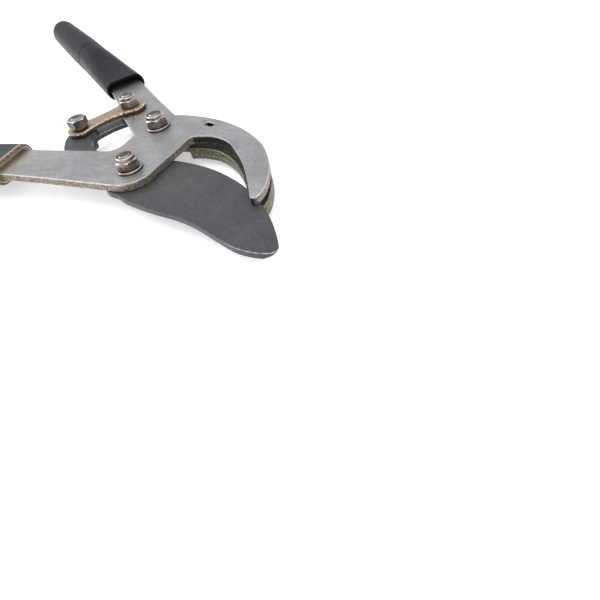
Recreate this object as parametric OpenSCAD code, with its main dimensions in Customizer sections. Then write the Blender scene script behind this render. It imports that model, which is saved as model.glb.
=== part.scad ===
// Compound-action bypass loppers, lying flat with the pivot nuts up.
// Plan coordinates start at the blade pivot: X runs from the fixed handle towards the jaws.
// Heights start at the middle of the blade. in_place() then moves everything so that the
// origin is under the middle of the whole tool, on the surface that it lies on.

/* [Plates] */
// Thickness of the two hook plates
plate_t = 5; // [4.5:0.5:6]
// Thickness of the blade and the lever plate, which run between them
inner_t = 4; // [3.5:0.5:5]
// Thickness of the backing behind the rear plate's hook
backing_t = 3; // [2.5:0.5:4]
// Side gap between neighbouring plates
plate_gap = 0.3; // [0.2:0.05:0.4]
// Thickness of the two links
link_t = 3.5; // [3:0.5:4.5]
// Width of the ground bevel behind the cutting edge
bevel_w = 9; // [6:1:12]

/* [Pivots] */
// Lever pivot, along the fixed handle from the blade pivot
lever_pivot_x = -9; // [-10:1:-8]
// Lever pivot, across the fixed handle from the blade pivot
lever_pivot_y = 52; // [51:1:53]
// Upper link pivot, along the fixed handle
link_lever_x = -56.5; // [-57:0.5:-56]
// Upper link pivot, across the fixed handle
link_lever_y = 87.5; // [87:0.5:88]
// Lower link pivot, along the fixed handle
link_blade_x = -79.5; // [-80:0.5:-79]
// Lower link pivot, across the fixed handle
link_blade_y = 53; // [52.5:0.5:53.5]

/* [Fasteners] */
// Shank radius of the pivot bolts
bolt_r = 4; // [3.9:0.05:4]
// Width of a bolt head or nut across its flats
hex_w = 13; // [12:0.5:14]
// Height of a bolt head
head_h = 5.3; // [5:0.1:6]
// Height of a lock nut with its collar
nut_h = 8; // [7.5:0.5:9]
// Thickness of a washer
washer_t = 1.6; // [1:0.1:2]
// Outer radius of a washer
washer_r = 8.5; // [8:0.25:9]
// Outer radius of the bushings that the blade and the lever plate turn on
bushing_r = 6; // [5.8:0.1:6.2]
// Outer radius of the bushings between the two links
link_bushing_r = 5.2; // [5:0.1:5.4]
// Radial clearance of a plate on its bushing
running_gap = 0.05; // [0.02:0.01:0.08]

/* [Handles] */
// Length of a handle from its mouth to its end
handle_len = 235; // [200:5:260]
// Width of the crimped mouth on the fixed handle
fixed_mouth_w = 40; // [38:0.5:41]
// Width of the crimped mouth on the lever handle
lever_mouth_w = 33.5; // [32:0.5:35]
// Depth of both crimped mouths
mouth_t = 15; // [14:0.5:16]
// Wall of the handle tubes
tube_wall = 1.8; // [1.5:0.1:2.2]
// Diameter of a tube where its crimp ends
tube_d = 28.5; // [27:0.5:29]
// Diameter of a tube at its far end
tube_end_d = 25; // [22:0.5:26.5]
// Length of the crimped stretch
crimp_len = 104; // [90:2:120]
// Wall of the grip sleeves
grip_wall = 0.9; // [0.7:0.1:1]

/* [Hidden] */

blade_pivot = [0, 0];
lever_pivot = [lever_pivot_x, lever_pivot_y];
link_lever_pivot = [link_lever_x, link_lever_y];
link_blade_pivot = [link_blade_x, link_blade_y];

// Heights of the layers
mid_z = -inner_t / 2;
front_z = inner_t / 2 + plate_gap;
rear_z = -front_z - plate_t;
rear_link_z = -front_z - link_t;
slot_w = 2 * front_z;
bore_r = bolt_r + 0.15;
fit_r = bushing_r + running_gap;
collar_h = 2.4;
collar_bore = bolt_r + 0.7;
link_fit_r = link_bushing_r + running_gap;

// Handle seats: the middle of each mouth, and the way the handle runs from it
fixed_mouth = [-103, 4.7];
fixed_angle = 180;
fixed_axis_z = front_z + plate_t / 2;
strap_w = 30.9;
lever_mouth = [-89.2, 129.5];
lever_angle = 141;
lever_axis_z = 1.5;
tang_depth = 42;
tang_w = 26.4;
crimp_lip = 7;
crimp_flat = 12;
ring_n = 40;
cap_r = tube_end_d / 2 + grip_wall;
cap_edge_r = 7;
cap_len = 10;

// Cutting edge and hook arcs
edge_centre = [3, -110.5];
edge_r = 130.3;
hook_centre = [33, 5.5];
hook_r = 34.8;
hook_back_centre = [-7, -47];
hook_back_r = 116;
lobe_r = 17.2;
hub_r = 17.8;
rear_hub_r = 13;
blade_hub_r = 19;

// The hang slot through both hook plates
slot_centre = [29.6, 55.5];
slot_len = 9;
slot_wide = 4.2;
slot_angle = -25;

// Rivets that hold the backing
rivet_near = [21.5, 47.5];
rivet_far = [66, 31];
rivet_r = 2.5;
rivet_head_r = 4.2;
rivet_head_h = 1.3;

// Room that the open linkage pivot needs in the blade's tail, along and across its arm
free_in = 3.5;
free_out = 0.25;
free_side = 0.42;
free_r = link_bushing_r + 0.6;

//----- Outline helpers -----

function on_circle(c, r, a) = [c[0] + r * cos(a), c[1] + r * sin(a)];
function arc(c, r, a0, a1, n) = [for (i = [0 : n]) on_circle(c, r, a0 + (a1 - a0) * i / n)];
function knot(p, i) = p[max(0, min(len(p) - 1, i))];
function blend(a, b, c, d, t) =
    0.5 * (2 * b + (c - a) * t + (2 * a - 5 * b + 4 * c - d) * t * t
        + (3 * b - a - 3 * c + d) * t * t * t);
// A smooth curve through a few points
function curve(p, n) = concat(
    [for (i = [0 : len(p) - 2], j = [0 : n - 1])
        blend(knot(p, i - 1), p[i], p[i + 1], knot(p, i + 2), j / n)],
    [p[len(p) - 1]]);

//----- Plate outlines -----

function strap_top() = [[-145, 20], [-40, 19.7]];
function strap_bottom() = [[-60, -13.2], [-101, -10.8], [-145, -10.4]];
function crook() = curve([[-40, 19.7], [-32, 19.6], [-26.5, 22], [-23.6, 28], [-22.5, 41.3]], 5);
function hook_tip() = curve(
    [on_circle(hook_back_centre, hook_back_r, 42), [87, 19], [93.5, 5], [97.3, -10], [97, -20],
        [93.6, -23.2], [90.6, -18.5], [84.3, -6.6], [73, 11.8],
        on_circle(hook_centre, hook_r, 38)], 4);
function throat() = curve(
    [on_circle(hook_centre, hook_r, 104), [23, 35.8], [22.1, 30], [18.9, 7.5], [17.6, 0]], 4);

function front_outline() = concat(
    strap_top(), crook(),
    arc(lever_pivot, lobe_r, 217, 92, 12),
    arc(hook_back_centre, hook_back_r, 90, 44, 14),
    hook_tip(),
    arc(hook_centre, hook_r, 42, 100, 9),
    throat(),
    arc(blade_pivot, hub_r, -6, -97, 9),
    strap_bottom());

function rear_tip() = curve(
    [on_circle(hook_back_centre, hook_back_r - 0.5, 42), [86.5, 19], [93, 5], [96.8, -10],
        [96.4, -19.8], [93.3, -22.6], [89, -18.5], [80.5, -3.5], [70.5, 12.5], [60.5, 24.4],
        [51, 32.4], [41, 38], [28, 40.8], [18, 40.5]], 4);

function rear_outline() = concat(
    arc(lever_pivot, lobe_r - 0.5, 205, 90, 10),
    arc(hook_back_centre, hook_back_r - 0.5, 88, 44, 13),
    rear_tip(),
    curve([[17, 43.5], [10, 44], [4.5, 40], [3.5, 30], [5.5, 17]], 4),
    arc(blade_pivot, rear_hub_r, 55, -190, 16),
    curve([[-15, 12], [-18.5, 23], [-23, 34]], 4));

function backing_outline() = concat(
    arc(hook_back_centre, hook_back_r - 1.5, 77, 44, 11),
    rear_tip());

function blade_edge() = arc(edge_centre, edge_r, 88.5, 27.5, 34);
function blade_tip() = curve(
    [on_circle(edge_centre, edge_r, 26.5), [120.3, -53.8], [120.5, -56.6], [118.6, -58.7],
        [115, -59.6], [107, -59.5], [97, -57.3], [84, -51], [66, -41.7], [50, -35.8], [30, -31], [10, -24.6],
        [1, -20.2]], 5);
function tail() = curve(
    [[-21, -6.3], [-31, -0.8], [-42, 3.8], [-54, 9.3], [-68, 18], [-80, 30], [-87.6, 42],
        [-90, 51]], 5);
function tail_end() = arc(link_blade_pivot, 10.4, 175, 15, 10);
function tail_inside() = curve(
    [[-69.2, 51.5], [-66.4, 45.4], [-60, 37.2], [-51.5, 30.2], [-42, 25.6], [-28, 21.8],
        [-12, 19.9]], 5);

function blade_outline() = concat(
    blade_edge(), blade_tip(), arc(blade_pivot, blade_hub_r, -96, -146, 5),
    tail(), tail_end(), tail_inside());

// Tang edges run from the lever pivot to the end inside the handle
tang_in = [cos(lever_angle), sin(lever_angle)] * tang_depth;
tang_side = [-sin(lever_angle), cos(lever_angle)] * tang_w / 2;
function tang_outline() = [
    [3, 65.8], [-40, 103], lever_mouth - tang_side, lever_mouth - tang_side + tang_in,
    lever_mouth + tang_side + tang_in, lever_mouth + tang_side, [-76, 97.6], [-58, 76.2],
    [-38, 57.6], [-20, 39.5]];

//----- Shared shapes -----

module plate(z, t) {
    translate([0, 0, z]) linear_extrude(t) children();
}

module disc(p, r) {
    translate(p) circle(r = r, $fn = 48);
}

module slot(p, angle, length, width) {
    translate(p) rotate(angle) {
        square([length - width, width], center = true);
        for (side = [-1, 1])
            translate([side * (length - width) / 2, 0]) circle(d = width, $fn = 32);
    }
}

// A turned piece: the children are its half section
module turned(p, z) {
    translate([p[0], p[1], z]) rotate_extrude($fn = 64) children();
}

// The corners of a hexagon are cut back by a cone at one or both ends
module hex_body(h, cut_low, cut_high) {
    corner_r = hex_w / 2 / cos(30);
    flat_r = hex_w / 2;
    intersection() {
        rotate(10) cylinder(h = h, r = corner_r, $fn = 6);
        rotate_extrude($fn = 64) polygon([
            [0, 0], [cut_low ? flat_r * 0.97 : corner_r, 0], [corner_r + 0.01, cut_low ? 0.7 : 0],
            [corner_r + 0.01, cut_high ? h - 0.7 : h], [cut_high ? flat_r * 0.97 : corner_r, h],
            [0, h]]);
    }
}

// A hexagon bolt with its head behind the plates
module bolt(p, head_z, tip_z) {
    color("darkgray") in_place() union() {
        translate([p[0], p[1], head_z - head_h]) hex_body(head_h, true, false);
        turned(p, head_z)
            polygon([[0, -0.5], [bolt_r - 0.05, -0.5], [bolt_r - 0.05, tip_z - head_z - 0.8],
                [bolt_r - 0.85, tip_z - head_z], [0, tip_z - head_z]]);
    }
}

// Sets a nut on its pivot at height z, with its collar up or, turned over, with its hexagon up
module seated(p, z, turned_over) {
    translate([p[0], p[1], turned_over ? z + nut_h : z])
        rotate([turned_over ? 180 : 0, 0, 0]) children();
}

// A lock nut: hexagon below, round collar that holds the insert above
module lock_nut(p, z, turned_over = false) {
    collar_r = 5.9;
    lip_r = 0.9;
    hex_h = nut_h - collar_h;
    color("silver") in_place() seated(p, z, turned_over) difference() {
        union() {
            hex_body(hex_h, turned_over, true);
            turned([0, 0], hex_h - 0.6) polygon(concat(
                [[0, 0], [collar_r, 0]],
                arc([collar_r - lip_r, collar_h + 0.6 - lip_r], lip_r, 0, 90, 6),
                [[0, collar_h + 0.6]]));
        }
        turned([0, 0], 0) polygon([[0, -1], [bolt_r, -1], [bolt_r, hex_h],
            [collar_bore, hex_h], [collar_bore, nut_h + 1], [0, nut_h + 1]]);
    }
}

// The ring inside a lock nut's collar that grips the thread
module nut_insert(p, z, turned_over = false) {
    color("steelblue") in_place() seated(p, z, turned_over) turned([0, 0], nut_h - collar_h)
        polygon([[bolt_r - 0.05, 0], [collar_bore, 0], [collar_bore, 1.7], [bolt_r - 0.05, 1.7]]);
}

module washer(p, z) {
    color("silver") in_place() turned(p, z) polygon([
        [bolt_r + 0.2, 0], [washer_r, 0], [washer_r, washer_t - 0.3], [washer_r - 0.3, washer_t],
        [bolt_r + 0.2, washer_t]]);
}

module bushing(p, r) {
    color("goldenrod") in_place() turned(p, -front_z)
        polygon([[bolt_r + 0.05, 0], [r, 0], [r, slot_w], [bolt_r + 0.05, slot_w]]);
}

module link_shape() {
    run = link_lever_pivot - link_blade_pivot;
    span = norm(run);
    translate(link_blade_pivot) rotate(atan2(run[1], run[0])) difference() {
        union() {
            circle(r = 9.8, $fn = 64);
            translate([span, 0]) circle(r = 11.2, $fn = 64);
            translate([0, -6.5]) square([span, 14.5]);
        }
        translate([span / 2 - 2, -46]) circle(r = 41.5, $fn = 96);
        translate([span / 2 - 2, 66]) circle(r = 58.6, $fn = 96);
        circle(r = bore_r, $fn = 48);
        translate([span, 0]) circle(r = bore_r, $fn = 48);
    }
}

//----- Handles: built along +X from the middle of the mouth -----

module in_fixed_handle() {
    in_place() translate([fixed_mouth[0], fixed_mouth[1], fixed_axis_z])
        rotate(fixed_angle) children();
}

module in_lever_handle() {
    in_place() translate([lever_mouth[0], lever_mouth[1], lever_axis_z])
        rotate(lever_angle) children();
}

// A ring of points across a handle at x: a circle pressed to a width and a depth
function ring(x, w, t) = [
    for (i = [0 : ring_n - 1])
        let (a = (i + 0.5) * 360 / ring_n)
            [x, sign(cos(a)) * (w - t) / 2 + cos(a) * t / 2, sin(a) * t / 2]];

// The same number of points round the pocket that holds a tang, offset by z from the axis
function pocket_ring(x, w, t, z) = [
    for (i = [0 : ring_n - 1])
        let (a = (i + 0.5) * 360 / ring_n, rise = asin(sin(a)) / (90 - 180 / ring_n))
            [x, sign(cos(a)) * w / 2, z + rise * t / 2]];

// The crimp opens from its flat mouth to the round tube
function crimp_ring(mouth_w, x, inset) =
    let (
        u = max(0, min(1, (x - crimp_flat) / (crimp_len - crimp_flat))),
        w = mouth_w + (tube_d - mouth_w) * u,
        t = mouth_t + (tube_d - mouth_t) * u * u * (3 - 2 * u))
    ring(x, w - 2 * inset, t - 2 * inset);

// A closed skin through rings; the last one joins the first
module ring_skin(rings) {
    count = len(rings);
    polyhedron(
        points = [for (r = rings) each r],
        faces = [
            for (k = [0 : count - 1], i = [0 : ring_n - 1])
                let (
                    a = k * ring_n + i,
                    b = k * ring_n + (i + 1) % ring_n,
                    c = (k + 1) % count * ring_n + i,
                    d = (k + 1) % count * ring_n + (i + 1) % ring_n)
                each [[a, d, b], [a, c, d]]]);
}

// A tube whose crimp is pressed solid round the tang, apart from the lip at its mouth
module handle_tube(mouth_w, tang_w, tang_t, tang_z) {
    far_x = handle_len - cap_len;
    far_d = tube_end_d - 2 * tube_wall;
    pocket_end = tang_depth + 4;
    ring_skin(concat(
        [crimp_ring(mouth_w, 0, 0.5)],
        [for (x = [0.5, crimp_flat, 28, 43, 58, 73, 88, crimp_len]) crimp_ring(mouth_w, x, 0)],
        [ring(far_x, tube_end_d, tube_end_d), ring(far_x, far_d, far_d)],
        [for (x = [crimp_len, 80, pocket_end + 8]) crimp_ring(mouth_w, x, tube_wall)],
        [for (x = [pocket_end, crimp_lip]) pocket_ring(x, tang_w, tang_t, tang_z)],
        [crimp_ring(mouth_w, crimp_lip, tube_wall), crimp_ring(mouth_w, 0, tube_wall)]));
}

module grip() {
    x0 = crimp_len;
    x1 = handle_len - cap_len;
    difference() {
        turn_x(x0) polygon([[0, 0], [tube_d / 2 + grip_wall - 0.5, 0], [tube_d / 2 + grip_wall, 0.8],
            [cap_r, x1 - x0], [0, x1 - x0]]);
        turn_x(x0) polygon([[0, -1], [tube_d / 2, -1], [tube_d / 2, 0],
            [tube_end_d / 2, x1 - x0], [tube_end_d / 2, x1 - x0 + 1], [0, x1 - x0 + 1]]);
    }
}

module turn_x(x) {
    translate([x, 0, 0]) rotate([0, 90, 0]) rotate_extrude($fn = 64) children();
}

module end_cap() {
    plug_r = tube_end_d / 2 - tube_wall;
    plug_len = 14;
    turn_x(handle_len - cap_len) polygon(concat(
        [[0, -plug_len], [plug_r - 0.8, -plug_len], [plug_r - 0.1, -plug_len + 1],
            [plug_r - 0.1, 0], [cap_r, 0]],
        arc([cap_r - cap_edge_r, cap_len - cap_edge_r], cap_edge_r, 0, 90, 8),
        [[0, cap_len]]));
}

//----- Placing -----

cap_reach = handle_len - cap_edge_r;
min_x = fixed_mouth[0] - handle_len;
max_x = max([for (p = blade_outline()) p[0]]);
min_y = min([for (p = blade_outline()) p[1]]);
max_y = lever_mouth[1] + cap_reach * sin(lever_angle)
    + (cap_r - cap_edge_r) * abs(cos(lever_angle)) + cap_edge_r;
ground_z = front_z + plate_t + washer_t + head_h;

module in_place() {
    translate([-(min_x + max_x) / 2, -(min_y + max_y) / 2, ground_z]) children();
}

//----- Sub-parts -----

module front_hook_plate() {
    color("silver") in_place() plate(front_z, plate_t) difference() {
        polygon(front_outline());
        disc(blade_pivot, bore_r);
        disc(lever_pivot, bore_r);
        slot(slot_centre, slot_angle, slot_len, slot_wide);
    }
}

module rear_hook_plate() {
    color("darkgray") in_place() plate(rear_z, plate_t) difference() {
        polygon(rear_outline());
        disc(rivet_near, rivet_r);
        disc(rivet_far, rivet_r);
        disc(blade_pivot, bore_r);
        disc(lever_pivot, bore_r);
        slot(slot_centre, slot_angle, slot_len, slot_wide);
    }
}

module hook_backing_plate() {
    color("darkgray") in_place() plate(rear_z - backing_t, backing_t) difference() {
        polygon(backing_outline());
        disc(rivet_near, rivet_r);
        disc(rivet_far, rivet_r);
        slot(slot_centre, slot_angle, slot_len, slot_wide);
    }
}

// A rivet's domed head is behind the backing, and its shank ends just below the rear plate's face
module rivet(p) {
    head_z = rear_z - backing_t - rivet_head_h;
    shank = rivet_head_h + backing_t + plate_t - 0.2;
    color("silver") in_place() turned(p, head_z) polygon([
        [0, 0], [rivet_head_r - 1.3, 0], [rivet_head_r - 0.4, 0.45], [rivet_head_r, rivet_head_h],
        [rivet_r - 0.02, rivet_head_h], [rivet_r - 0.02, shank], [0, shank]]);
}

module backing_rivet_near() { rivet(rivet_near); }
module backing_rivet_far() { rivet(rivet_far); }

// The edge is ground from behind, so the front face runs out to it
module edge_bevel() {
    land = 0.4;
    slope = (inner_t - land) / bevel_w;
    over = 3;
    intersection() {
        translate([edge_centre[0], edge_centre[1], mid_z]) rotate_extrude($fn = 256) polygon([
            [edge_r - bevel_w, 0], [edge_r - bevel_w, -1], [edge_r + over, -1],
            [edge_r + over, slope * (bevel_w + over)]]);
        translate([26, -60, -10]) cube([110, 90, 20]);
    }
}

module blade() {
    arm = link_blade_pivot / norm(link_blade_pivot);
    side = [-arm[1], arm[0]] * free_side;
    color("dimgray") in_place() difference() {
        plate(mid_z, inner_t) difference() {
            polygon(blade_outline());
            disc(blade_pivot, fit_r);
            slot(link_blade_pivot + side - arm * (free_in - free_out) / 2,
                atan2(arm[1], arm[0]), free_in + free_out + 2 * free_r - 0.8, 2 * free_r);
        }
        edge_bevel();
    }
}

module lever_plate() {
    color("silver") in_place() plate(mid_z, inner_t) difference() {
        union() {
            disc(lever_pivot, lobe_r - 0.2);
            disc(link_lever_pivot, 9.8);
            polygon(tang_outline());
        }
        disc(lever_pivot, fit_r);
        disc(link_lever_pivot, link_fit_r);
    }
}

module front_link() {
    color("tan") in_place() plate(front_z, link_t) link_shape();
}

module rear_link() {
    color("dimgray") in_place() plate(rear_link_z, link_t) link_shape();
}

// Both main pivots clamp the hook plates with a washer on each side
plates_top = front_z + plate_t + washer_t;
links_top = front_z + link_t;

module blade_pivot_bolt() { bolt(blade_pivot, -plates_top, plates_top + nut_h + 0.6); }
module blade_pivot_nut() { lock_nut(blade_pivot, plates_top); }
module blade_pivot_nut_insert() { nut_insert(blade_pivot, plates_top); }
module blade_pivot_front_washer() { washer(blade_pivot, front_z + plate_t); }
module blade_pivot_rear_washer() { washer(blade_pivot, -plates_top); }
module blade_pivot_bushing() { bushing(blade_pivot, bushing_r); }

module lever_pivot_bolt() { bolt(lever_pivot, -plates_top, plates_top + nut_h + 0.6); }
module lever_pivot_nut() { lock_nut(lever_pivot, plates_top); }
module lever_pivot_nut_insert() { nut_insert(lever_pivot, plates_top); }
module lever_pivot_front_washer() { washer(lever_pivot, front_z + plate_t); }
module lever_pivot_rear_washer() { washer(lever_pivot, -plates_top); }
module lever_pivot_bushing() { bushing(lever_pivot, bushing_r); }

module link_lever_bolt() { bolt(link_lever_pivot, -links_top, links_top + nut_h + 0.8); }
module link_lever_nut() { lock_nut(link_lever_pivot, links_top); }
module link_lever_nut_insert() { nut_insert(link_lever_pivot, links_top); }
module link_lever_bushing() { bushing(link_lever_pivot, link_bushing_r); }

module link_blade_bolt() { bolt(link_blade_pivot, -links_top, links_top + nut_h + 0.6); }
module link_blade_nut() { lock_nut(link_blade_pivot, links_top, true); }
module link_blade_nut_insert() { nut_insert(link_blade_pivot, links_top, true); }
module link_blade_bushing() { bushing(link_blade_pivot, link_bushing_r); }

module fixed_handle_tube() {
    color([0.20, 0.22, 0.21]) in_fixed_handle() handle_tube(fixed_mouth_w, strap_w, plate_t, 0);
}
module fixed_handle_grip() { color([0.17, 0.19, 0.18]) in_fixed_handle() grip(); }
module fixed_handle_end_cap() { color([0.12, 0.12, 0.12]) in_fixed_handle() end_cap(); }

module lever_handle_tube() {
    color([0.20, 0.19, 0.21]) in_lever_handle()
        handle_tube(lever_mouth_w, tang_w, inner_t, -lever_axis_z);
}
module lever_handle_grip() { color([0.17, 0.16, 0.18]) in_lever_handle() grip(); }
module lever_handle_end_cap() { color([0.12, 0.12, 0.12]) in_lever_handle() end_cap(); }

//----- Drawing -----

front_hook_plate();
rear_hook_plate();
hook_backing_plate();
backing_rivet_near();
backing_rivet_far();
blade();
lever_plate();
front_link();
rear_link();
blade_pivot_bolt();
blade_pivot_nut();
blade_pivot_nut_insert();
blade_pivot_front_washer();
blade_pivot_rear_washer();
blade_pivot_bushing();
lever_pivot_bolt();
lever_pivot_nut();
lever_pivot_nut_insert();
lever_pivot_front_washer();
lever_pivot_rear_washer();
lever_pivot_bushing();
link_lever_bolt();
link_lever_nut();
link_lever_nut_insert();
link_lever_bushing();
link_blade_bolt();
link_blade_nut();
link_blade_nut_insert();
link_blade_bushing();
fixed_handle_tube();
fixed_handle_grip();
fixed_handle_end_cap();
lever_handle_tube();
lever_handle_grip();
lever_handle_end_cap();
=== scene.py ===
import math

import bmesh
import bpy
from mathutils import Matrix, Vector


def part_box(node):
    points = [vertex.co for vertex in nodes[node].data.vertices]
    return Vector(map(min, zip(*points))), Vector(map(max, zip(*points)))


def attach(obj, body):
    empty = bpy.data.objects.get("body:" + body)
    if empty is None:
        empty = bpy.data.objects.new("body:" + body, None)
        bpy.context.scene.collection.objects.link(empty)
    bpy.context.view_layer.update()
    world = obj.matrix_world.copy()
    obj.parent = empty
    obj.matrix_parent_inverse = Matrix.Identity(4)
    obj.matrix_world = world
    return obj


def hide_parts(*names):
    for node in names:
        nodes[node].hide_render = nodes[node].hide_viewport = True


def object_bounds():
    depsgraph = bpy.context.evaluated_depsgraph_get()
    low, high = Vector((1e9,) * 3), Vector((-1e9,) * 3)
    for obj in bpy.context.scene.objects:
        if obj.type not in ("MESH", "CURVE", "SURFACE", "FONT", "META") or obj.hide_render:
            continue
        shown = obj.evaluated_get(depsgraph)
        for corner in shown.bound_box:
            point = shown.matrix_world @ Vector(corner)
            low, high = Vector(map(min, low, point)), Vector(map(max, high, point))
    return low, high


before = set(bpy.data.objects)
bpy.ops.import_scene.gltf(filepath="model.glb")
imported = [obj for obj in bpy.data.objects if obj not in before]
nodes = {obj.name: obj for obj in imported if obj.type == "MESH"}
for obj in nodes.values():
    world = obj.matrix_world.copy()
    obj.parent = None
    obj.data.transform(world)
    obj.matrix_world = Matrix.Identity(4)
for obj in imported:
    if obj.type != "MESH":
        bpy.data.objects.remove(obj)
cad_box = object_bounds()
MM = 0.001
IN_MM = 1000.0


# ---------------------------------------------------------------- where things are

def mid(node):
    lo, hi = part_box(node)
    return (lo + hi) / 2


def top_of(node):
    """The height of a node's top in millimetres."""
    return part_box(node)[1].z * IN_MM


PIVOT = mid("blade_pivot_front_washer")
PIVOT.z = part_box("blade_pivot_front_washer")[1].z
BLADE_FACE = -6.9  # the blade's front face, in millimetres from the top of the pivot's washer


def from_pivot(x, y, z):
    """A point given in millimetres from the top of the blade pivot's washer."""
    return PIVOT + Vector((x, y, z)) * MM


def strap_mouth():
    """The middle of the fixed handle's mouth, 2 mm inside it, on top of the strap."""
    mouth_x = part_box("fixed_handle_tube")[1].x
    return Vector((mouth_x - 2 * MM, mid("fixed_handle_tube").y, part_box("front_hook_plate")[1].z))


# ---------------------------------------------------------------- node materials

def rgb(r, g, b):
    return (r, g, b, 1)


def grey(v, warm=0.0):
    return (v * (1 + warm), v, v * (1 - warm), 1.0)


class Material:
    """A node material, built from the surface's own object coordinates in millimetres."""

    def __init__(self, name, metallic=0.0, roughness=0.5, specular=0.5):
        self.mat = bpy.data.materials.new(name)
        self.mat.use_nodes = True
        self.tree = self.mat.node_tree
        self.tree.nodes.clear()
        out = self.tree.nodes.new("ShaderNodeOutputMaterial")
        self.shader = self.tree.nodes.new("ShaderNodeBsdfPrincipled")
        self.tree.links.new(self.shader.outputs[0], out.inputs[0])
        self.shader.inputs["Metallic"].default_value = metallic
        self.shader.inputs["Roughness"].default_value = roughness
        self.shader.inputs["Specular IOR Level"].default_value = specular
        coords = self.tree.nodes.new("ShaderNodeTexCoord")
        scaled = self.tree.nodes.new("ShaderNodeVectorMath")
        scaled.operation = "SCALE"
        scaled.inputs["Scale"].default_value = IN_MM
        self.tree.links.new(coords.outputs["Object"], scaled.inputs[0])
        self.place = scaled.outputs[0]
        self.facing = coords.outputs["Normal"]
        self.last_bump = None

    def put(self, socket, value):
        """Links an output to a socket, or sets the socket to a constant."""
        if hasattr(value, "is_output"):
            self.tree.links.new(value, socket)
        else:
            socket.default_value = value

    def math(self, operation, a, b, clamp=False):
        n = self.tree.nodes.new("ShaderNodeMath")
        n.operation = operation
        n.use_clamp = clamp
        self.put(n.inputs[0], a)
        self.put(n.inputs[1], b)
        return n.outputs[0]

    def both(self, a, b):
        return self.math("MULTIPLY", a, b)

    def opposite(self, mask):
        return self.math("SUBTRACT", 1.0, mask)

    def stretched(self, x, y, z, turn=0.0):
        """Coordinates scaled on each axis, after a turn in degrees about Z."""
        n = self.tree.nodes.new("ShaderNodeMapping")
        n.inputs["Scale"].default_value = (x, y, z)
        n.inputs["Rotation"].default_value = (0, 0, math.radians(turn))
        self.tree.links.new(self.place, n.inputs["Vector"])
        return n.outputs[0]

    def noise(self, size, detail=3.0, rough=0.5, at=None, distortion=0.0):
        """Noise whose patches are about size millimetres across."""
        n = self.tree.nodes.new("ShaderNodeTexNoise")
        n.inputs["Scale"].default_value = 1.0 / size
        n.inputs["Detail"].default_value = detail
        n.inputs["Roughness"].default_value = rough
        n.inputs["Distortion"].default_value = distortion
        self.tree.links.new(at or self.place, n.inputs["Vector"])
        return n.outputs["Fac"]

    def grains(self, size):
        """The distance from the nearest of many points, about size millimetres apart."""
        n = self.tree.nodes.new("ShaderNodeTexVoronoi")
        n.inputs["Scale"].default_value = 1.0 / size
        self.tree.links.new(self.place, n.inputs["Vector"])
        return n.outputs["Distance"]

    def curve(self, value, low, high, to_low=0.0, to_high=1.0):
        """A smooth step from to_low at low to to_high at high."""
        n = self.tree.nodes.new("ShaderNodeMapRange")
        n.interpolation_type = "SMOOTHSTEP"
        self.put(n.inputs["Value"], value)
        for key, v in (("From Min", low), ("From Max", high), ("To Min", to_low), ("To Max", to_high)):
            n.inputs[key].default_value = v
        return n.outputs["Result"]

    def mix(self, amount, a, b):
        n = self.tree.nodes.new("ShaderNodeMix")
        n.data_type = "RGBA"
        n.clamp_factor = True
        self.put(n.inputs["Factor"], amount)
        self.put(n.inputs[6], a)  # inputs 6 and 7 and output 2 are the colour ones
        self.put(n.inputs[7], b)
        return n.outputs[2]

    def over(self, base, colour, where, amount):
        """A base with a colour laid over it, by amount where the mask is 1."""
        return self.mix(self.both(where, amount), base, colour)

    def axis(self, vector, index):
        n = self.tree.nodes.new("ShaderNodeSeparateXYZ")
        self.tree.links.new(vector, n.inputs[0])
        return n.outputs[index]

    def near(self, point, inner, outer):
        """1 within inner millimetres of a point in the row frame, 0 past outer."""
        n = self.tree.nodes.new("ShaderNodeVectorMath")
        n.operation = "DISTANCE"
        self.tree.links.new(self.place, n.inputs[0])
        n.inputs[1].default_value = tuple(Vector(point) * IN_MM)
        return self.curve(n.outputs["Value"], inner, outer, 1.0, 0.0)

    def corner_shade_mask(self, reach):
        """1 in the corners where pieces meet, 0 in the open: an ambient-occlusion mask, used to paint
        shade into corners.
        """
        n = self.tree.nodes.new("ShaderNodeAmbientOcclusion")
        n.samples = 8
        n.inputs["Distance"].default_value = reach * MM
        return self.curve(n.outputs["AO"], 0.35, 0.9, 1.0, 0.0)

    def upright(self):
        """How far a surface looks straight up or down: 1 on a flat face, 0 on a wall."""
        return self.math("ABSOLUTE", self.axis(self.facing, 2), 0.0)

    def flat_face(self):
        """1 on faces that look up or down, 0 on the walls between them."""
        return self.curve(self.upright(), 0.86, 0.985)

    def wall(self):
        """1 on the walls between the faces that look up and down."""
        return self.curve(self.upright(), 0.15, 0.5, 1.0, 0.0)

    def bevelled(self):
        """1 on the bevels between a face and a wall."""
        return self.both(self.opposite(self.flat_face()), self.opposite(self.wall()))

    def colour(self, value):
        self.put(self.shader.inputs["Base Color"], value)

    def roughness(self, value):
        self.put(self.shader.inputs["Roughness"], value)

    def bump(self, height, strength, depth):
        """depth is the relief in millimetres."""
        n = self.tree.nodes.new("ShaderNodeBump")
        n.inputs["Strength"].default_value = strength
        n.inputs["Distance"].default_value = depth * MM
        self.put(n.inputs["Height"], height)
        if self.last_bump is not None:
            self.tree.links.new(self.last_bump, n.inputs["Normal"])
        self.last_bump = n.outputs["Normal"]
        self.put(self.shader.inputs["Normal"], self.last_bump)


# ---------------------------------------------------------------- steel plates

# painted shade: a near-black colour laid on the hook's walls in its curve, which stand in shade
WALL_SHADE = rgb(0.013, 0.013, 0.010)
WALL_SHADE_STARTS = 24.0  # millimetres from the pivot along X, in the hook's curve, where the painted shade on the walls starts
STAIN_INNER, STAIN_OUTER = 3.0, 18.0
STAIN_TINT = rgb(0.46, 0.42, 0.31)


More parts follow.
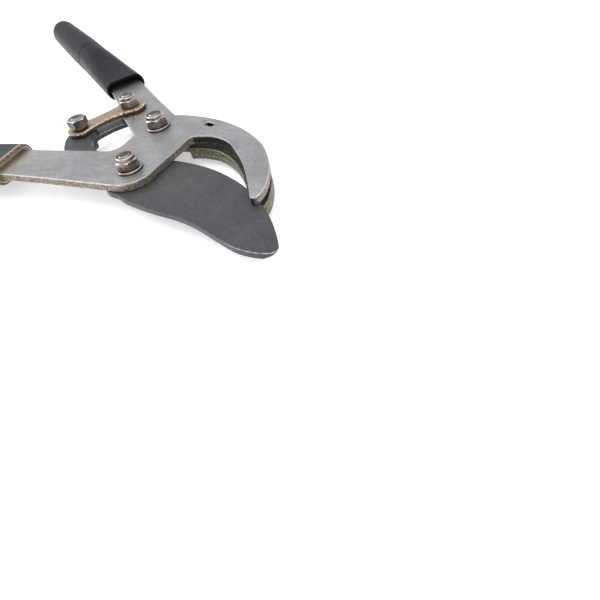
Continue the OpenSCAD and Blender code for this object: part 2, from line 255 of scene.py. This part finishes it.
def plate_top(m, brushed, fine, face, face_dark, corner_shade_colour, highlight_and_grain, stained):
    """The satin face of a plate, with a brushed grain, specks, and painted shade in its corners."""
    specks = m.curve(m.noise(1.5, 2.0, 0.7), 0.60, 0.68)
    top = m.mix(m.curve(m.noise(26.0, 3.0, 0.55), 0.3, 0.7), face_dark, face)
    top = m.over(top, highlight_and_grain, m.curve(brushed, 0.42, 0.66), 0.24)
    top = m.over(top, face_dark, m.curve(fine, 0.42, 0.62), 0.9)
    top = m.over(top, highlight_and_grain, specks, 0.32)
    # painted shade: the face is darkened by ambient occlusion where other pieces stand close
    top = m.over(top, corner_shade_colour, m.corner_shade_mask(3.0), 0.75)
    if stained:
        patchy = m.curve(m.noise(3.0, 4.0, 0.7), 0.25, 0.6, 0.45, 1.0)
        top = m.over(top, STAIN_TINT, m.near(strap_mouth(), STAIN_INNER, STAIN_OUTER), patchy)
    return top


def plate_wall(m, shear, light, dark, highlight_and_grain, wall_shade_from, rim_z, rim_h):
    """The sheared wall of a plate, pitted, with a painted highlight along its top where it meets the face.
    """
    side = m.mix(m.curve(shear, 0.38, 0.62), dark, light)
    side = m.over(side, dark, m.curve(m.grains(0.7), 0.12, 0.4, 1.0, 0.0), 0.7)
    # painted shade on the walls past a point along X, except those facing +X
    if wall_shade_from is not None:
        past = m.curve(m.axis(m.place, 0), wall_shade_from - 2.0, wall_shade_from + 2.0)
        inward = m.curve(m.axis(m.facing, 0), 0.35, 0.7, 1.0, 0.0)
        side = m.over(side, WALL_SHADE, m.both(past, inward), 0.94)
    # painted highlight along the top of the wall, broken up by noise
    if rim_z is not None:
        highlight_breakup = m.curve(m.noise(1.6, 3.0, 0.6), 0.32, 0.58, 0.15, 1.0)
        near_top = m.curve(m.axis(m.place, 2), rim_z - rim_h - 0.5, rim_z - rim_h)
        side = m.over(side, highlight_and_grain, near_top, highlight_breakup)
    return side


def steel_plate(name, face, face_dark, wall_light, wall_dark, highlight_and_grain, turn=0.0, stained=False, rim_z=None,
                rim_h=0.6, wall_shade_from=None):
    """A blanked plate. Its light colour tints its brushed streaks and specks, and is also painted as a
    highlight on its bevels and along the top of its walls; turn is its grain's direction.
    """
    m = Material(name, metallic=0.88)
    brushed = m.noise(1.0, 4.0, 0.6, m.stretched(0.11, 1.3, 1.0, turn))
    fine = m.noise(1.1, 4.0, 0.8)
    shear = m.noise(0.7, 4.0, 0.75, m.stretched(1.0, 1.0, 0.55))
    top = plate_top(m, brushed, fine, face, face_dark, wall_dark, highlight_and_grain, stained)
    side = plate_wall(m, shear, wall_light, wall_dark, highlight_and_grain, wall_shade_from, rim_z, rim_h)
    # the bevels between faces and walls take the light colour as a painted highlight
    m.colour(m.mix(m.wall(), m.mix(m.flat_face(), highlight_and_grain, top), side))
    m.roughness(m.math("ADD", m.curve(brushed, 0.3, 0.7, 0.36, 0.48), m.both(m.wall(), 0.16)))
    m.bump(m.both(shear, m.wall()), 0.8, 0.35)
    m.bump(m.both(brushed, m.flat_face()), 0.25, 0.03)
    m.bump(fine, 0.2, 0.02)
    return m.mat


# ---------------------------------------------------------------- blade

RIM_LIGHTENS_FROM, RIM_LIGHTENS_OVER = 82.0, 16.0  # millimetres from the pivot along X
HEEL = from_pivot(30, -2, BLADE_FACE)
SPECK = from_pivot(47, -37, BLADE_FACE)


def blade_face(m, fine):
    """The dark coating: clouds, a fine grain, scratches, a mottle, an olive heel and a few specks."""
    cloud = m.noise(17.0, 4.0, 0.6, distortion=0.4)
    warm = m.noise(30.0, 2.0, 0.5)
    scratch = m.noise(1.0, 2.0, 0.4, m.stretched(0.03, 2.4, 1.0, 38.0))
    mottle = m.noise(1.4, 3.0, 0.75)
    olive = m.both(m.near(HEEL, 8.0, 34.0), m.curve(m.noise(1.1, 4.0, 0.8), 0.50, 0.60))
    loose_specks = m.both(m.curve(m.noise(1.1, 1.0, 0.3), 0.80, 0.83), 0.5)
    specks = m.math("ADD", m.both(m.near(SPECK, 0.3, 0.8), 0.9), loose_specks, clamp=True)
    base = m.mix(m.curve(cloud, 0.32, 0.68), rgb(0.040, 0.040, 0.047), rgb(0.060, 0.060, 0.068))
    base = m.over(base, rgb(0.085, 0.075, 0.062), m.curve(warm, 0.5, 0.7), 0.3)
    base = m.over(base, rgb(0.10, 0.10, 0.105), m.curve(fine, 0.48, 0.66), 0.6)
    base = m.over(base, rgb(0.22, 0.22, 0.22), m.curve(scratch, 0.68, 0.74), 0.12)
    base = m.over(base, rgb(0.030, 0.031, 0.034), m.curve(mottle, 0.40, 0.52, 1.0, 0.0), 0.55)
    base = m.over(base, rgb(0.13, 0.13, 0.09), olive, 0.5)
    return m.mix(specks, base, rgb(0.34, 0.32, 0.24))


def blade_steel(name):
    """A coated blade with a line along its rim and bevels: near-black painted shade near the pivot,
    turning light grey towards the tip.
    """
    m = Material(name, metallic=0.25, specular=0.4)
    fine = m.noise(0.7, 3.0, 0.65)
    top = top_of("blade")
    lightens_from = PIVOT.x * IN_MM + RIM_LIGHTENS_FROM
    towards_tip = m.curve(m.axis(m.place, 0), lightens_from, lightens_from + RIM_LIGHTENS_OVER)
    rim = m.mix(towards_tip, rgb(0.004, 0.004, 0.004), rgb(0.36, 0.36, 0.36))
    rim_band = m.both(m.curve(m.axis(m.place, 2), top - 0.9, top - 0.5), m.wall())
    rim_line_breakup = m.curve(m.noise(2.2, 3.0, 0.6), 0.35, 0.65, 0.25, 1.0)
    # painted shade: the blade's walls are made darker than its face
    base = m.over(blade_face(m, fine), rgb(0.040, 0.040, 0.044), m.wall(), 0.6)
    # the line on the top of the walls and on the bevels: painted shade near the pivot, light grey towards
    # the tip, broken up by noise
    m.colour(m.over(base, rim, m.math("MAXIMUM", rim_band, m.bevelled()), rim_line_breakup))
    m.roughness(m.curve(fine, 0.3, 0.7, 0.38, 0.5))
    m.bump(fine, 0.35, 0.05)
    m.bump(m.noise(3.5, 3.0, 0.6), 0.15, 0.08)
    return m.mat


# ---------------------------------------------------------------- fasteners, paint, vinyl, plastic

def zinc(name, bright, tint, roughness, wear, shadow):
    """Plated fasteners: bright metal, faintly uneven plating, painted shade on the walls and in the
    corners, and a painted highlight on the bevels.
    """
    m = Material(name, metallic=1.0)
    fine = m.noise(0.8, 3.0, 0.6)
    wall_shadow_strength = m.curve(m.noise(2.6, 2.0, 0.5), 0.4, 0.6, 0.45, 0.9)
    base = m.mix(m.curve(m.noise(4.0, 3.0, 0.5), 0.35, 0.65), bright, tint)
    base = m.over(base, rgb(0.22, 0.18, 0.15), m.curve(fine, 0.5, 0.75), wear)
    # painted shade on the walls, in patches
    base = m.over(base, shadow, m.wall(), wall_shadow_strength)
    # painted highlight on the bevels
    base = m.over(base, rgb(0.62, 0.57, 0.53), m.bevelled(), 0.4)
    # painted shade in the corners, from ambient occlusion
    m.colour(m.over(base, rgb(0.03, 0.022, 0.018), m.corner_shade_mask(2.0), 0.85))
    m.roughness(m.curve(fine, 0.3, 0.75, roughness, roughness + 0.16))
    m.bump(fine, 0.25, 0.03)
    return m.mat


def coating(name, dark, light, roughness, relief, specular, grain=0.6, scuff=rgb(0.16, 0.16, 0.17)):
    """Paint or vinyl: soft colour drift, a fine orange-peel skin and a few rubbed places."""
    m = Material(name, roughness=roughness, specular=specular)
    skin = m.noise(grain, 3.0, 0.55)
    rubs = m.noise(2.4, 4.0, 0.7, m.stretched(0.5, 0.5, 0.5))
    base = m.mix(m.curve(m.noise(34.0, 3.0, 0.5), 0.3, 0.7), dark, light)
    m.colour(m.over(base, scuff, m.curve(rubs, 0.62, 0.75), 0.3))
    m.roughness(m.curve(skin, 0.3, 0.7, roughness - 0.05, roughness + 0.08))
    m.bump(skin, 0.35, relief)
    return m.mat


def rim_metal(name):
    """The rough brown rim of the fixed handle's mouth."""
    m = Material(name, metallic=0.5)
    grit = m.noise(1.2, 4.0, 0.8)
    m.colour(m.mix(m.curve(grit, 0.44, 0.60), rgb(0.060, 0.036, 0.027), rgb(0.36, 0.28, 0.22)))
    m.roughness(m.curve(grit, 0.3, 0.7, 0.45, 0.7))
    m.bump(grit, 0.8, 0.25)
    return m.mat


def plastic(name, dark, light, roughness):
    m = Material(name, roughness=roughness, specular=0.25)
    skin = m.noise(0.5, 3.0, 0.6)
    m.colour(m.mix(m.curve(m.noise(5.0), 0.3, 0.7), dark, light))
    m.roughness(m.curve(skin, 0.3, 0.7, roughness - 0.06, roughness + 0.1))
    m.bump(skin, 0.3, 0.04)
    return m.mat


# ---------------------------------------------------------------- the tool's materials

HOOK_GRAIN, LEVER_GRAIN, LINK_GRAIN = 4.0, -52.0, 56.0  # directions in degrees

MATS = {
    "hook": steel_plate(
        "hook_steel", face=grey(0.44), face_dark=grey(0.28),
        wall_light=rgb(0.40, 0.36, 0.29), wall_dark=rgb(0.10, 0.075, 0.055), highlight_and_grain=grey(0.60, 0.02),
        turn=HOOK_GRAIN, stained=True, rim_z=top_of("front_hook_plate"),
        wall_shade_from=PIVOT.x * IN_MM + WALL_SHADE_STARTS),
    # painted shade: the plates behind the front hook plate get its steel coloured much darker, for the
    # shade they lie in
    "rear": steel_plate(
        "rear_hook_steel_shaded", face=grey(0.12, 0.05), face_dark=grey(0.07, 0.08),
        wall_light=rgb(0.28, 0.26, 0.18), wall_dark=rgb(0.055, 0.05, 0.035), highlight_and_grain=grey(0.6, 0.05)),
    "lever": steel_plate(
        "lever_steel", face=grey(0.43), face_dark=grey(0.28),
        wall_light=rgb(0.42, 0.38, 0.30), wall_dark=rgb(0.12, 0.09, 0.065), highlight_and_grain=grey(0.68, 0.02),
        turn=LEVER_GRAIN, rim_z=top_of("lever_plate")),
    # the link's walls are coloured dark as painted shade, under a cream painted highlight along their top
    "link": steel_plate(
        "tan_link_steel", face=rgb(0.42, 0.325, 0.23), face_dark=rgb(0.33, 0.25, 0.18),
        wall_light=rgb(0.15, 0.10, 0.07), wall_dark=rgb(0.05, 0.035, 0.025), highlight_and_grain=rgb(0.88, 0.80, 0.66),
        turn=LINK_GRAIN, rim_z=top_of("front_link"), rim_h=1.0),
    "rear_link": steel_plate(
        "dark_link_steel", face=grey(0.13, -0.02), face_dark=grey(0.09),
        wall_light=rgb(0.10, 0.09, 0.085), wall_dark=rgb(0.04, 0.035, 0.03), highlight_and_grain=grey(0.45),
        turn=LINK_GRAIN, rim_z=top_of("rear_link"), rim_h=0.3),
    "blade": blade_steel("blade_coating"),
    "nut": zinc(
        "nut_zinc", bright=rgb(0.46, 0.41, 0.39), tint=rgb(0.33, 0.29, 0.24),
        roughness=0.17, wear=0.7, shadow=rgb(0.17, 0.135, 0.12)),
    "bolt": zinc(
        "bolt_zinc", bright=rgb(0.13, 0.125, 0.12), tint=rgb(0.07, 0.063, 0.056),
        roughness=0.3, wear=0.8, shadow=rgb(0.08, 0.07, 0.065)),
    "washer": zinc(
        "washer_zinc", bright=rgb(0.46, 0.39, 0.375), tint=rgb(0.34, 0.27, 0.25),
        roughness=0.2, wear=0.7, shadow=rgb(0.20, 0.14, 0.13)),
    "bronze": zinc(
        "bushing_bronze", bright=rgb(0.55, 0.36, 0.18), tint=rgb(0.42, 0.27, 0.13),
        roughness=0.30, wear=0.5, shadow=rgb(0.30, 0.19, 0.09)),
    "nylon": plastic("insert_nylon", rgb(0.016, 0.017, 0.020), rgb(0.030, 0.031, 0.036), 0.5),
    "lever_paint": coating(
        "lever_tube_coat", dark=rgb(0.005, 0.0042, 0.008), light=rgb(0.012, 0.010, 0.018),
        roughness=0.40, relief=0.05, specular=0.09),
    "lever_grip": coating(
        "lever_grip_vinyl", dark=rgb(0.005, 0.0042, 0.008), light=rgb(0.011, 0.0095, 0.016),
        roughness=0.42, relief=0.06, specular=0.09, grain=0.9),
    "fixed_paint": coating(
        "fixed_tube_coat", dark=rgb(0.014, 0.017, 0.015), light=rgb(0.030, 0.034, 0.030),
        roughness=0.40, relief=0.05, specular=0.25),
    "fixed_grip": coating(
        "fixed_grip_vinyl", dark=rgb(0.016, 0.018, 0.017), light=rgb(0.034, 0.037, 0.034),
        roughness=0.44, relief=0.07, specular=0.22, grain=0.9),
    "rim": rim_metal("tube_rim"),
    "lip": coating(
        "tube_lip_cream", dark=rgb(0.44, 0.37, 0.27), light=rgb(0.62, 0.55, 0.43),
        roughness=0.5, relief=0.15, specular=0.4, grain=1.2, scuff=rgb(0.25, 0.18, 0.12)),
    # a near-white band around the outside of the fixed handle's mouth, next to its rim
    "bright_edge_line": coating(
        "tube_edge_line", dark=rgb(0.62, 0.61, 0.60), light=rgb(0.80, 0.79, 0.78),
        roughness=0.35, relief=0.05, specular=0.5, grain=1.5),
    "black_rim": coating(
        "lever_rim_coat", dark=rgb(0.001, 0.001, 0.001), light=rgb(0.002, 0.002, 0.002),
        roughness=0.22, relief=0.03, specular=0.1, scuff=rgb(0.02, 0.02, 0.02)),
    "cap": plastic("cap_plastic", rgb(0.014, 0.013, 0.016), rgb(0.026, 0.024, 0.030), 0.44),
}


# ---------------------------------------------------------------- carried-over CAD nodes

WELD_REACH = 2e-6  # metres


def finish_node(name, material, bevel=0.0, segments=2, angle=35.0):
    """Gives a CAD node its material, and bevels edges sharper than angle, by bevel millimetres."""
    o = nodes[name]
    o.data.materials.clear()
    o.data.materials.append(MATS[material])
    if bevel:
        weld = o.modifiers.new("weld", "WELD")
        weld.merge_threshold = WELD_REACH
        edge = o.modifiers.new("edge", "BEVEL")
        edge.width = bevel * MM
        edge.segments = segments
        edge.limit_method = "ANGLE"
        edge.angle_limit = math.radians(angle)
        edge.harden_normals = False
        edge.use_clamp_overlap = True


finish_node("front_hook_plate", "hook", 0.55, 3)
finish_node("rear_hook_plate", "rear", 0.5, 3)
finish_node("hook_backing_plate", "rear", 0.5, 3)
finish_node("backing_rivet_near", "bolt", 0.1)
finish_node("backing_rivet_far", "bolt", 0.1)
finish_node("lever_plate", "lever", 0.5, 3)
finish_node("blade", "blade", 0.65, 3, angle=50.0)
finish_node("front_link", "link", 0.55, 3)
finish_node("rear_link", "rear_link", 0.4)
for pivot in ("blade_pivot", "lever_pivot", "link_lever", "link_blade"):
    finish_node(pivot + "_bolt", "bolt", 0.15)
    finish_node(pivot + "_nut", "nut", 0.15)
    finish_node(pivot + "_nut_insert", "nylon")
    finish_node(pivot + "_bushing", "bronze")
for pivot in ("blade_pivot", "lever_pivot"):
    finish_node(pivot + "_front_washer", "washer", 0.12)
    finish_node(pivot + "_rear_washer", "washer", 0.12)


# ---------------------------------------------------------------- handles, in millimetres

SIDES = 96
HANDLE_LEN, CAP_LEN = 235.0, 10.0
TUBE_D, END_D = 28.5, 25.0
CRIMP_FLAT, CRIMP_LEN, CRIMP_STEPS = 12.0, 104.0, 30
MOUTH_T = 15.0
POCKET_INSET = 6.2  # how far in from the tube's outside the mouth's pocket ends
POCKET_WALL, POCKET_STARTS = 0.8, 0.5  # shares of the pocket's depth
POCKET_STEP = 0.4  # how much further in than the rim the pocket's wall stands
ROLL_STEPS, LIP_STEPS = 16, 6  # bands of the rolled rim, and how many of them are lip
ROLL_REACH = 0.8  # the roll's length along the tube over half the rim
PAINT, RIM, LIP, EDGE_LINE = 0, 1, 2, 3  # a tube's material slots
LINE_STARTS, LINE_ENDS = 1.3, 1.7  # the bright line, along the tube from half the rim
GRIP_WALL, GRIP_HEM, GRIP_ROLL, GRIP_STEPS = 0.9, 0.30, 2.0, 40
HEM_LIFT, HEM_STEPS = 0.05, 4  # how far the hem's thin edge stands off the tube, and its bands
SWELL_RATE = 4  # the grip reaches its full wall in one part of this many
CAP_ROUND, CAP_STEPS = 7.0, 12
CAP_INSET = 0.03
CAP_FOOT = ((0.1, 0.9), (0.35, 0.1))  # places along the cap, and what each takes off its diameter
CAP_CENTRE = (3.0, 1.0)  # radii of the rings on the flat end
SLACK = 0.02  # taken off a diameter, so that a skin stays inside the CAD piece


def pressed_ring(x, w, t):
    """A circle pressed to a width and a depth, across the handle at x."""
    ring = []
    for i in range(SIDES):
        a = (i + 0.5) * 2 * math.pi / SIDES
        side = 1 if math.cos(a) > 0 else -1
        ring.append(Vector((x, side * (w - t) / 2 + math.cos(a) * t / 2, math.sin(a) * t / 2)))
    return ring


def round_ring(x, d):
    return pressed_ring(x, d, d)


def crimp(mouth_w, x, inset=0.0):
    """The tube's ring at x, from its pressed mouth to the round tube, moved in by inset."""
    u = max(0.0, min(1.0, (x - CRIMP_FLAT) / (CRIMP_LEN - CRIMP_FLAT)))
    w = mouth_w + (TUBE_D - mouth_w) * u
    t = MOUTH_T + (TUBE_D - MOUTH_T) * u * u * (3 - 2 * u)
    return pressed_ring(x, w - 2 * inset, t - 2 * inset)


def skin(name, place, rings, close_ends=False, slots=()):
    """A smooth surface through rings. slots gives the material index of each band."""
    mesh = bpy.data.meshes.new(name)
    bm = bmesh.new()
    rows = [[bm.verts.new(place @ (p * MM)) for p in ring] for ring in rings]
    for k, (a, b) in enumerate(zip(rows, rows[1:])):
        for i in range(SIDES):
            j = (i + 1) % SIDES
            face = bm.faces.new((a[i], b[i], b[j], a[j]))
            face.smooth = True
            face.material_index = slots[k] if k < len(slots) else 0
    if close_ends:
        bm.faces.new(rows[0]).smooth = True
        bm.faces.new(list(reversed(rows[-1]))).smooth = True
    bmesh.ops.recalc_face_normals(bm, faces=bm.faces)
    bm.to_mesh(mesh)
    bm.free()
    o = bpy.data.objects.new(name, mesh)
    bpy.context.scene.collection.objects.link(o)
    return o


def handle_place(node, degrees):
    """The frame of a handle: its mouth's middle, with X along the handle, from the tube's own points."""
    run = Vector((math.cos(math.radians(degrees)), math.sin(math.radians(degrees)), 0))
    side = Vector((-run.y, run.x, 0))
    points = [v.co for v in nodes[node].data.vertices]
    start = min(p.dot(run) for p in points)
    across = [p.dot(side) for p in points]
    up = [p.z for p in points]
    origin = run * start + side * (min(across) + max(across)) / 2 + Vector((0, 0, (min(up) + max(up)) / 2))
    return Matrix.Translation(origin) @ Matrix.Rotation(math.radians(degrees), 4, "Z")


def tube_piece(prefix, place, body, mouth_w, rim, pocket, materials):
    """The tube: a pocket at the mouth, a rolled rim, the crimp and the taper to the cap."""
    bands = [(crimp(mouth_w, pocket, POCKET_INSET), LIP),
             (crimp(mouth_w, pocket * POCKET_WALL, rim + POCKET_STEP), LIP),
             (crimp(mouth_w, pocket * POCKET_STARTS, rim), LIP)]
    half = rim / 2
    for k in range(ROLL_STEPS + 1):
        a = math.pi * (0.5 + k / ROLL_STEPS)
        ring = crimp(mouth_w, half * ROLL_REACH * (1 + math.cos(a)), half * (1 + math.sin(a)))
        bands.append((ring, LIP if k < LIP_STEPS else RIM))
    bands.append((crimp(mouth_w, half + LINE_STARTS), EDGE_LINE))
    bands.append((crimp(mouth_w, half + LINE_ENDS), PAINT))
    bands.append((crimp(mouth_w, CRIMP_FLAT / 2), PAINT))
    for i in range(CRIMP_STEPS + 1):
        bands.append((crimp(mouth_w, CRIMP_FLAT + i * (CRIMP_LEN - CRIMP_FLAT) / CRIMP_STEPS), PAINT))
    bands.append((round_ring(HANDLE_LEN - CAP_LEN, END_D), PAINT))
    tube = skin(prefix + "_tube_skin", place, [ring for ring, slot in bands], close_ends=True,
                slots=[slot for ring, slot in bands])
    for material in materials:
        tube.data.materials.append(MATS[material])
    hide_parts(prefix + "_tube")
    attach(tube, body)


def grip_piece(prefix, place, body, material):
    """The sleeve: a rolled hem, a swell to its full wall in its first quarter, and the taper."""
    start, end = CRIMP_LEN, HANDLE_LEN - CAP_LEN
    rings = [round_ring(start, TUBE_D + HEM_LIFT)]
    for k in range(HEM_STEPS + 1):
        a = math.pi / 2 * k / HEM_STEPS
        lift = HEM_LIFT + (GRIP_HEM - HEM_LIFT) * math.sin(a)
        rings.append(round_ring(start + GRIP_ROLL * (1 - math.cos(a)), TUBE_D + 2 * lift))
    for k in range(1, GRIP_STEPS + 1):
        u = k / GRIP_STEPS
        wall = GRIP_HEM + (GRIP_WALL - GRIP_HEM) * min(1.0, u * SWELL_RATE)
        r = TUBE_D / 2 + (END_D - TUBE_D) / 2 * u + wall
        rings.append(round_ring(start + GRIP_ROLL + (end - start - GRIP_ROLL) * u, 2 * r - SLACK))
    rings.append(round_ring(end, END_D + 0.1))
    grip = skin(prefix + "_grip_sleeve", place, rings)
    grip.data.materials.append(MATS[material])
    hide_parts(prefix + "_grip")
    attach(grip, body)


def cap_piece(prefix, place, body):
    """The end cap: a chamfered foot against the grip, and a rounded end."""
    start = HANDLE_LEN - CAP_LEN
    cap_r = END_D / 2 + GRIP_WALL - CAP_INSET
    rings = [round_ring(start + x, 2 * cap_r - less) for x, less in CAP_FOOT]
    for k in range(CAP_STEPS + 1):
        a = math.pi / 2 * k / CAP_STEPS
        r = cap_r - CAP_ROUND + CAP_ROUND * math.cos(a)
        rings.append(round_ring(start + CAP_LEN - CAP_ROUND + CAP_ROUND * math.sin(a), 2 * r - SLACK))
    for r in CAP_CENTRE:
        rings.append(round_ring(start + CAP_LEN, 2 * r))
    cap = skin(prefix + "_cap_dome", place, rings, close_ends=True)
    cap.data.materials.append(MATS["cap"])
    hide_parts(prefix + "_end_cap")
    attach(cap, body)


def handle(prefix, body, degrees, mouth_w, rim, pocket, tube_materials, grip_material):
    place = handle_place(prefix + "_tube", degrees)
    tube_piece(prefix, place, body, mouth_w, rim, pocket, tube_materials)
    grip_piece(prefix, place, body, grip_material)
    cap_piece(prefix, place, body)


handle("lever_handle", "lever", degrees=141.0, mouth_w=33.5, rim=3.0, pocket=14.0,
       tube_materials=("lever_paint", "black_rim", "black_rim", "black_rim"), grip_material="lever_grip")
handle("fixed_handle", "fixed_jaw", degrees=180.0, mouth_w=40.0, rim=2.4, pocket=4.5,
       tube_materials=("fixed_paint", "rim", "lip", "bright_edge_line"), grip_material="fixed_grip")


# ---------------------------------------------------------------- floor, light, camera

FLOOR_HALF = 6.0
FLOOR_GAP = 0.0004  # below the lowest point of the tool, in metres
FLOOR_GLOW = 0.42
WORLD_STRENGTH = 0.78
# the camera, fitted to the photo: its place in metres from the pivot, and its directions
CAMERA_FROM_PIVOT = Vector((0.21885, -0.22533, 0.14933))
CAMERA_LOOK = Vector((-0.34315, 0.62279, -0.70312))
CAMERA_UP = Vector((-0.11411, 0.71538, 0.68935))
CAMERA_LENS, CAMERA_SENSOR = 30.84, 36.0


def floor():
    mesh = bpy.data.meshes.new("floor")
    s = FLOOR_HALF
    z = cad_box[0].z - FLOOR_GAP
    mesh.from_pydata([(-s, -s, z), (s, -s, z), (s, s, z), (-s, s, z)], [], [(0, 1, 2, 3)])
    o = bpy.data.objects.new("floor", mesh)
    bpy.context.scene.collection.objects.link(o)
    m = Material("floor_paper", roughness=0.9, specular=0.1)
    m.colour(m.mix(m.noise(400.0), rgb(0.93, 0.93, 0.93), rgb(0.95, 0.95, 0.95)))
    m.shader.inputs["Emission Color"].default_value = rgb(1, 1, 1)
    m.shader.inputs["Emission Strength"].default_value = FLOOR_GLOW
    o.data.materials.append(m.mat)


def softbox(name, place, target, size, power, tint=(1, 1, 1)):
    data = bpy.data.lights.new(name, "AREA")
    data.shape = "RECTANGLE"
    data.size, data.size_y = size
    data.energy = power
    data.color = tint
    o = bpy.data.objects.new(name, data)
    o.location = place
    o.rotation_euler = (Vector(target) - Vector(place)).to_track_quat("-Z", "Y").to_euler()
    bpy.context.scene.collection.objects.link(o)


def surroundings():
    world = bpy.data.worlds.new("studio")
    bpy.context.scene.world = world
    world.use_nodes = True
    background = world.node_tree.nodes["Background"]
    background.inputs["Color"].default_value = rgb(0.93, 0.95, 1.0)
    background.inputs["Strength"].default_value = WORLD_STRENGTH


def photo_camera():
    """A camera that looks along CAMERA_LOOK, with CAMERA_UP made square to it."""
    look = CAMERA_LOOK.normalized()
    right = look.cross(CAMERA_UP).normalized()
    up = right.cross(look).normalized()
    turn = Matrix((right, up, -look)).transposed()
    data = bpy.data.cameras.new("camera")
    data.lens = CAMERA_LENS
    data.sensor_width = CAMERA_SENSOR
    data.clip_start = 0.01
    camera = bpy.data.objects.new("camera", data)
    camera.matrix_world = Matrix.Translation(PIVOT + CAMERA_FROM_PIVOT) @ turn.to_4x4()
    bpy.context.scene.collection.objects.link(camera)
    return camera


floor()
softbox("overhead", (0.1, 0.1, 1.7), (0, 0, 0), size=(2.6, 2.6), power=22)
softbox("left_key", (-1.3, -0.1, 1.1), (0, 0, 0), size=(1.1, 1.1), power=15, tint=(1.0, 0.985, 0.97))
softbox("front_fill", (0.9, -1.3, 0.8), (0.1, 0, 0), size=(1.4, 0.9), power=7)
surroundings()
bpy.context.scene.camera = photo_camera()
bpy.context.scene.view_settings.view_transform = "Standard"
